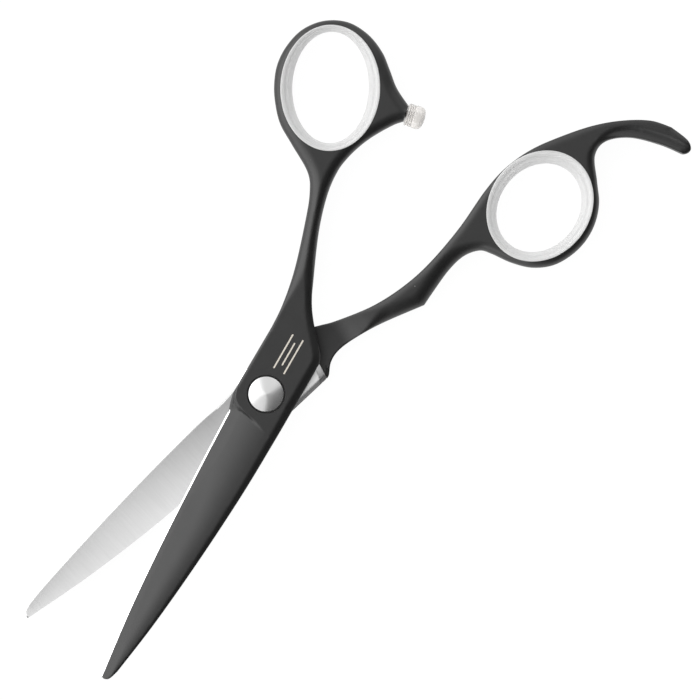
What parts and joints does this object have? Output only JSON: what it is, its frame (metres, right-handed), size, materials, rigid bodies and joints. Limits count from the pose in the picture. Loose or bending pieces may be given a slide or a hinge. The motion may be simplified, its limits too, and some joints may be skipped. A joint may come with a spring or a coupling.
{
  "type": "hair cutting shears",
  "caption": "Hand-held hair cutting shears with offset finger rings, a fixed little-finger rest, soft ring inserts and a tension dial at the pivot.",
  "frame": {"origin": "on the pivot axis, at the outer face of the tension dial, which is level with the undersides of both handles", "axes": "+X towards the blade tips, midway between the two blades; +Z along the pivot, out of the bolt's head; +Y towards the finger ring"},
  "size_m": [0.1548, 0.0752, 0.0064],
  "materials": {
    "black_coating": "satin black coating on steel, bare brushed steel on the blades' inner faces",
    "soft_insert": "translucent soft plastic, satin",
    "clear_bumper": "clear soft plastic, glossy",
    "plain_steel": "plain stainless steel",
    "bolt_steel": "spun, bright stainless steel",
    "black_nylon": "matte nylon",
    "white_plastic": "low-friction plastic",
    "bronze": "sintered bronze"
  },
  "bodies": {
    "finger_half": {"finger_blade": "black_coating", "finger_ring_insert": "soft_insert", "ride_washer": "white_plastic", "pivot_bushing": "bronze", "thrust_washer": "black_nylon", "disc_spring_inner": "plain_steel", "disc_spring_outer": "plain_steel"},
    "thumb_half": {"thumb_blade": "black_coating", "thumb_ring_insert": "soft_insert", "bumper": "clear_bumper", "bumper_stud": "plain_steel", "pivot_bolt": "bolt_steel", "head_liner": "black_nylon", "click_plate": "plain_steel"},
    "tension_dial": {"tension_dial": "bolt_steel"}
  },
  "joints": [
    {"name": "blade_pivot", "type": "hinge", "parent": "finger_half", "child": "thumb_half", "pos_m": [0, 0, 0.0036], "axis": [0, 0, 1], "range_deg": [-16.5, 75]},
    {"name": "tension_adjust", "type": "hinge", "parent": "thumb_half", "child": "tension_dial", "pos_m": [0, 0, 0.0006], "axis": [0, 0, 1], "range_deg": [-90, 90]}
  ]
}
